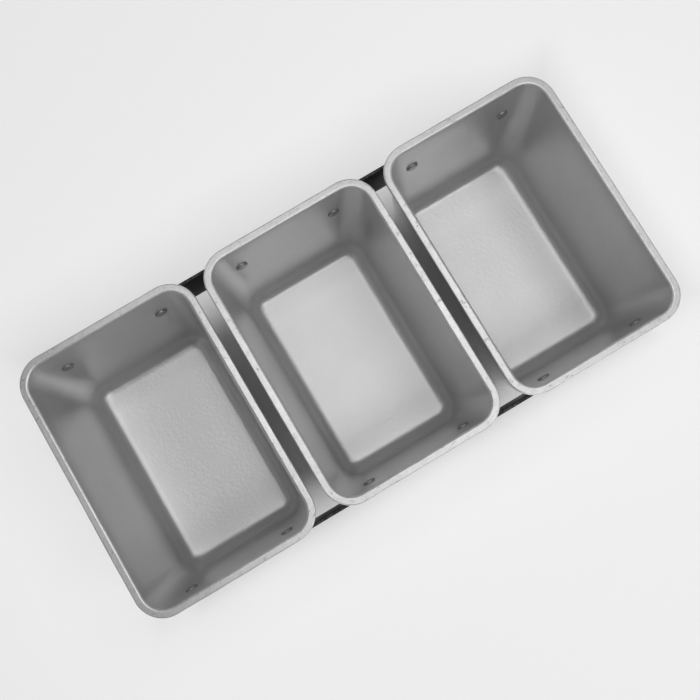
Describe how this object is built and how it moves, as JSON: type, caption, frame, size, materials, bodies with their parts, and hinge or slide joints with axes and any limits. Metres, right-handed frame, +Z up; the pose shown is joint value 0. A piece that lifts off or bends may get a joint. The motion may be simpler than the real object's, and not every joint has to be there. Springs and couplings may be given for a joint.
{
  "type": "strapped loaf pan section",
  "caption": "Section of deep tapered loaf pans with flat rims, riveted side by side between two flat steel strips.",
  "frame": {"origin": "on the surface that the pans stand on, under the middle of the whole section", "axes": "+X along the steel strips, across the row of pans; +Y along each pan's length towards the back strip; +Z up, out of the pans' mouths"},
  "size_m": [0.429, 0.201, 0.128],
  "materials": {
    "cast_aluminium": "matte cast aluminium with a fine grain, and a lighter, flat, ground rim",
    "black_steel": "black flat steel with a satin face and paler worn edges",
    "rivet_aluminium": "plain aluminium, dulled like the pan it holds"
  },
  "bodies": {
    "root": {"pan_left": "cast_aluminium", "pan_middle": "cast_aluminium", "pan_right": "cast_aluminium", "strip_front": "black_steel", "strip_back": "black_steel", "rivet_left_front_a": "rivet_aluminium", "rivet_left_front_b": "rivet_aluminium", "rivet_middle_front_a": "rivet_aluminium", "rivet_middle_front_b": "rivet_aluminium", "rivet_right_front_a": "rivet_aluminium", "rivet_right_front_b": "rivet_aluminium", "rivet_left_back_a": "rivet_aluminium", "rivet_left_back_b": "rivet_aluminium", "rivet_middle_back_a": "rivet_aluminium", "rivet_middle_back_b": "rivet_aluminium", "rivet_right_back_a": "rivet_aluminium", "rivet_right_back_b": "rivet_aluminium"}
  },
  "joints": []
}
